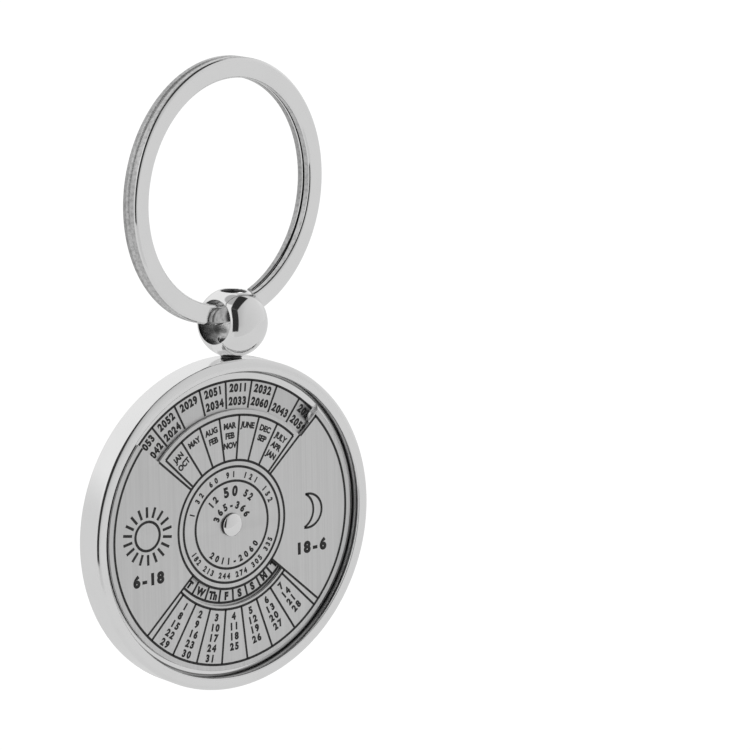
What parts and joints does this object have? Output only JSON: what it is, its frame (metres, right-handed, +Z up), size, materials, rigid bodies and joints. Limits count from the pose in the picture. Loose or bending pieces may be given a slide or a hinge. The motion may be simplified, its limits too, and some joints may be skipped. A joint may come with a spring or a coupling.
{
  "type": "perpetual calendar keyring",
  "caption": "Keyring with a flat-wire split ring, a swivel ball and a round metal case whose face plate turns over a disc of years and weekdays.",
  "frame": {"origin": "the hang point, on the inside top of the split ring, midway through its thickness", "axes": "+Z up as the keyring hangs, the calendar face looks along -Y, +X is the right of the face as it is read"},
  "size_m": [0.0402, 0.0084, 0.0762],
  "materials": {
    "split_ring": "bright nickel plated spring steel",
    "swivel_ball": "mirror polished",
    "swivel_pin": "polished",
    "swivel_washer": "plain bright washer",
    "case_tray": "mirror polished rim and back",
    "year_disc": "semi-polished with dark printed numbers",
    "friction_washer": "plain spring steel",
    "centre_rivet": "polished domed head",
    "face_plate": "fine vertical brushing with dark printed marks"
  },
  "bodies": {
    "ring": {"split_ring": "split_ring"},
    "ball": {"swivel_ball": "swivel_ball"},
    "case": {"case_tray": "case_tray", "year_disc": "year_disc", "swivel_pin": "swivel_pin", "swivel_washer": "swivel_washer", "centre_rivet": "centre_rivet", "friction_washer": "friction_washer"},
    "dial": {"face_plate": "face_plate"}
  },
  "joints": [
    {"name": "ball_tilt", "type": "hinge", "parent": "ring", "child": "ball", "pos_m": [0.00183, -0.00001, -0.02882], "axis": [0.9864, 0.1645, 0], "range_deg": [-120, 120]},
    {"name": "case_swivel", "type": "hinge", "parent": "ball", "child": "case", "pos_m": [0.00183, -0.00001, -0.02932], "axis": [0, 0, 1], "continuous": true},
    {"name": "dial_turn", "type": "hinge", "parent": "case", "child": "dial", "pos_m": [0.00183, -0.00131, -0.05362], "axis": [0, -1, 0], "continuous": true}
  ]
}
